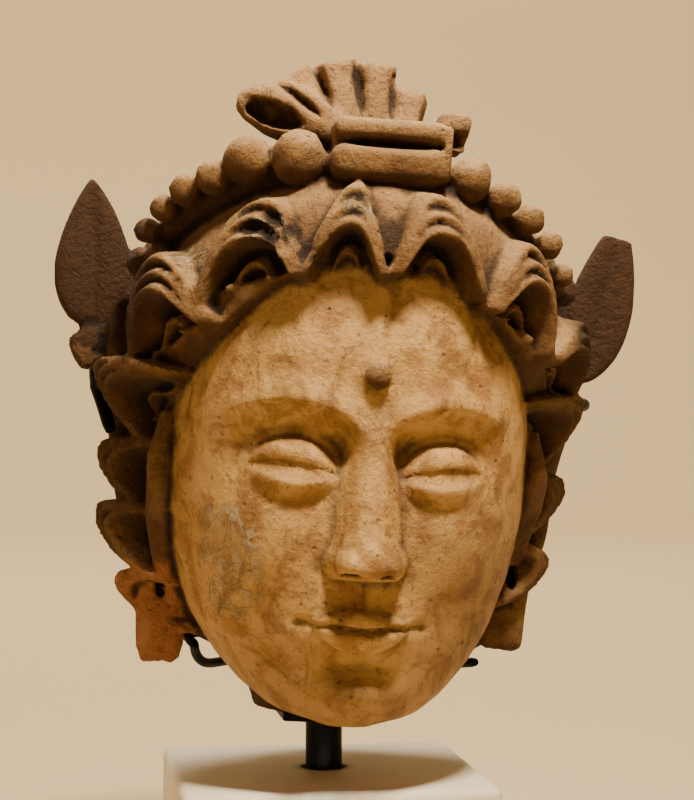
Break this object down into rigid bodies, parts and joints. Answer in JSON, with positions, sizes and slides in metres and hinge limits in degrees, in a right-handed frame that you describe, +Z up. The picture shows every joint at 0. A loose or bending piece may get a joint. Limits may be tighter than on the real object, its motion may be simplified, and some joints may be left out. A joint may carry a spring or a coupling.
{
  "type": "terracotta bodhisattva head on a display mount",
  "caption": "Fired-clay bodhisattva head with scalloped locks, beaded wreath, clasp, fluted crest and leaf ornaments, held by a bent-rod steel mount in a painted foot block.",
  "frame": {"origin": "centre of the foot block's underside", "axes": "+Z up, the face looks along -Y, +X to the viewer's right"},
  "size_m": [0.2057, 0.1742, 0.2917],
  "materials": {
    "fired_clay": "dry buff terracotta with worn slip, pits and lime deposits",
    "black_steel": "satin black",
    "painted_wood": "smooth cream paint"
  },
  "bodies": {
    "root": {"terracotta_head": "fired_clay", "steel_mount": "black_steel", "foot_block": "painted_wood"}
  },
  "joints": []
}
